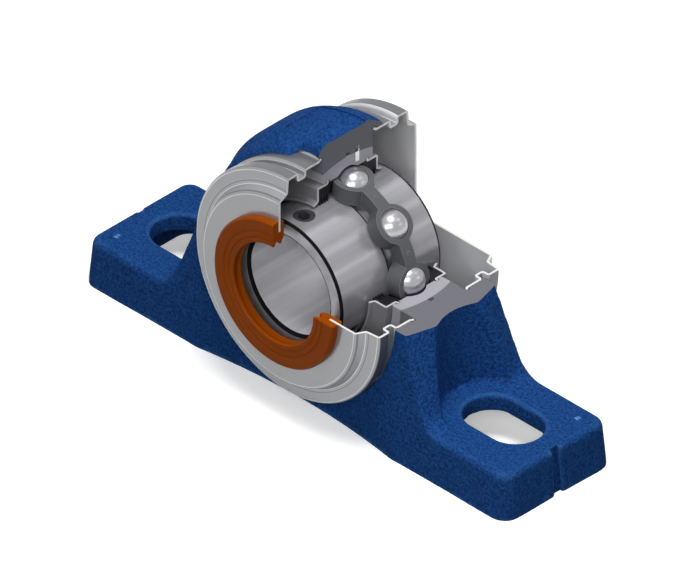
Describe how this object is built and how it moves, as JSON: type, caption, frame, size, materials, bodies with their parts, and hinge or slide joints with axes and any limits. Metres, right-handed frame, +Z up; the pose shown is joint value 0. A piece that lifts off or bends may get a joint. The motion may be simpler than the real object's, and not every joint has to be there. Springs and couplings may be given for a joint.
{
  "type": "sectioned pillow block bearing unit",
  "caption": "Cutaway two-bolt pillow block: blue cast foot housing, self-aligning insert ball bearing, pressed end covers and an orange shaft seal, with one upper quarter removed.",
  "frame": {"origin": "on the underside of the base, midway between the two bolt slots and straight below the middle of the bearing", "axes": "+X along the base towards the foot on the cut-away side, -Y out of the open end cover along the shaft, +Z up"},
  "size_m": [0.161, 0.0545, 0.0792],
  "materials": {
    "housing": "blue enamel over cast iron, bare iron on the cut faces",
    "outer_ring": "ground bearing steel",
    "locating_pin": "bright turned steel",
    "inner_ring": "satin ground bearing steel",
    "set_screw": "black oxide steel",
    "cage": "dark grey glass-filled nylon",
    "ball": "polished bearing steel",
    "shield": "dull pressed steel",
    "seal_lip": "black nitrile rubber",
    "cover": "zinc plated pressed steel",
    "shaft_seal": "orange moulded silicone rubber"
  },
  "bodies": {
    "unit_housing": {"housing": "housing", "front_cover": "cover", "back_cover": "cover", "shaft_seal": "shaft_seal"},
    "pin": {"locating_pin": "locating_pin"},
    "outer_race": {"outer_ring": "outer_ring", "front_shield": "shield", "back_shield": "shield", "front_seal_lip": "seal_lip", "back_seal_lip": "seal_lip"},
    "inner_race": {"inner_ring": "inner_ring", "set_screw_1": "set_screw", "set_screw_2": "set_screw"},
    "ball_cage": {"cage": "cage"},
    "body_ball_1": {"ball_1": "ball"},
    "body_ball_2": {"ball_2": "ball"},
    "body_ball_3": {"ball_3": "ball"},
    "body_ball_4": {"ball_4": "ball"},
    "body_ball_5": {"ball_5": "ball"},
    "body_ball_6": {"ball_6": "ball"},
    "body_ball_7": {"ball_7": "ball"},
    "body_ball_8": {"ball_8": "ball"},
    "body_ball_9": {"ball_9": "ball"}
  },
  "joints": [
    {"name": "align_tilt", "type": "hinge", "parent": "unit_housing", "child": "pin", "pos_m": [0, 0, 0.0397], "axis": [1, 0, 0], "range_deg": [-2, 2]},
    {"name": "align_swivel", "type": "hinge", "parent": "pin", "child": "outer_race", "pos_m": [0, 0, 0.0397], "axis": [0, 0, 1], "range_deg": [-2, 2]},
    {"name": "shaft_spin", "type": "hinge", "parent": "outer_race", "child": "inner_race", "pos_m": [0, 0, 0.0397], "axis": [0, 1, 0], "continuous": true},
    {"name": "cage_spin", "type": "hinge", "parent": "outer_race", "child": "ball_cage", "pos_m": [0, 0, 0.0397], "axis": [0, 1, 0], "continuous": true},
    {"name": "ball_1_spin", "type": "hinge", "parent": "ball_cage", "child": "body_ball_1", "pos_m": [0.002, 0, 0.06261], "axis": [0, 1, 0], "continuous": true},
    {"name": "ball_2_spin", "type": "hinge", "parent": "ball_cage", "child": "body_ball_2", "pos_m": [0.01626, 0, 0.05596], "axis": [0, 1, 0], "continuous": true},
    {"name": "ball_3_spin", "type": "hinge", "parent": "ball_cage", "child": "body_ball_3", "pos_m": [0.02291, 0, 0.0417], "axis": [0, 1, 0], "continuous": true},
    {"name": "ball_4_spin", "type": "hinge", "parent": "ball_cage", "child": "body_ball_4", "pos_m": [0.01884, 0, 0.02651], "axis": [0, 1, 0], "continuous": true},
    {"name": "ball_5_spin", "type": "hinge", "parent": "ball_cage", "child": "body_ball_5", "pos_m": [0.00595, 0, 0.01748], "axis": [0, 1, 0], "continuous": true},
    {"name": "ball_6_spin", "type": "hinge", "parent": "ball_cage", "child": "body_ball_6", "pos_m": [-0.00972, 0, 0.01885], "axis": [0, 1, 0], "continuous": true},
    {"name": "ball_7_spin", "type": "hinge", "parent": "ball_cage", "child": "body_ball_7", "pos_m": [-0.02085, 0, 0.02998], "axis": [0, 1, 0], "continuous": true},
    {"name": "ball_8_spin", "type": "hinge", "parent": "ball_cage", "child": "body_ball_8", "pos_m": [-0.02222, 0, 0.04565], "axis": [0, 1, 0], "continuous": true},
    {"name": "ball_9_spin", "type": "hinge", "parent": "ball_cage", "child": "body_ball_9", "pos_m": [-0.01319, 0, 0.05854], "axis": [0, 1, 0], "continuous": true}
  ],
  "couplings": [
    {"joint": "cage_spin", "follows": "shaft_spin", "ratio": 0.39647},
    {"joint": "ball_1_spin", "follows": "shaft_spin", "ratio": -2.3112},
    {"joint": "ball_2_spin", "follows": "shaft_spin", "ratio": -2.3112},
    {"joint": "ball_3_spin", "follows": "shaft_spin", "ratio": -2.3112},
    {"joint": "ball_4_spin", "follows": "shaft_spin", "ratio": -2.3112},
    {"joint": "ball_5_spin", "follows": "shaft_spin", "ratio": -2.3112},
    {"joint": "ball_6_spin", "follows": "shaft_spin", "ratio": -2.3112},
    {"joint": "ball_7_spin", "follows": "shaft_spin", "ratio": -2.3112},
    {"joint": "ball_8_spin", "follows": "shaft_spin", "ratio": -2.3112},
    {"joint": "ball_9_spin", "follows": "shaft_spin", "ratio": -2.3112}
  ]
}
